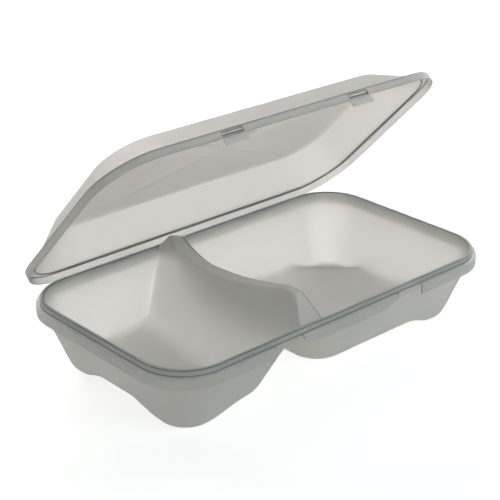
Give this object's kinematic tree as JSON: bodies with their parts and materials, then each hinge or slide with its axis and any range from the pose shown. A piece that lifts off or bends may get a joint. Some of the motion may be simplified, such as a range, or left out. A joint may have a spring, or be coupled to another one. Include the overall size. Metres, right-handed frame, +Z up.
{
  "type": "reusable meal tray",
  "caption": "Hinged frosted plastic meal tray with divided bowls, corner feet and a shallow domed lid that swings on a living hinge and latches at the front.",
  "frame": {"origin": "centre of the tray on the plane of its feet, midway between the four corner feet", "axes": "+X along the tray's length to the right, with the smaller bowl at -X; +Y to the hinge at the back; +Z up"},
  "size_m": [0.2246, 0.1315, 0.1331],
  "materials": {
    "frosted_tray": "translucent natural polypropylene, fine moulded texture",
    "frosted_lid": "translucent natural polypropylene, fine moulded texture",
    "frosted_hinge": "thin flexed polypropylene web"
  },
  "bodies": {
    "tray": {"base_tray": "frosted_tray", "living_hinge": "frosted_hinge"},
    "lid": {"lid": "frosted_lid"}
  },
  "joints": [
    {"name": "lid_hinge", "type": "hinge", "parent": "tray", "child": "lid", "pos_m": [0, 0.06472, 0.03735], "axis": [-1, 0, 0], "range_deg": [-46, 134]}
  ]
}
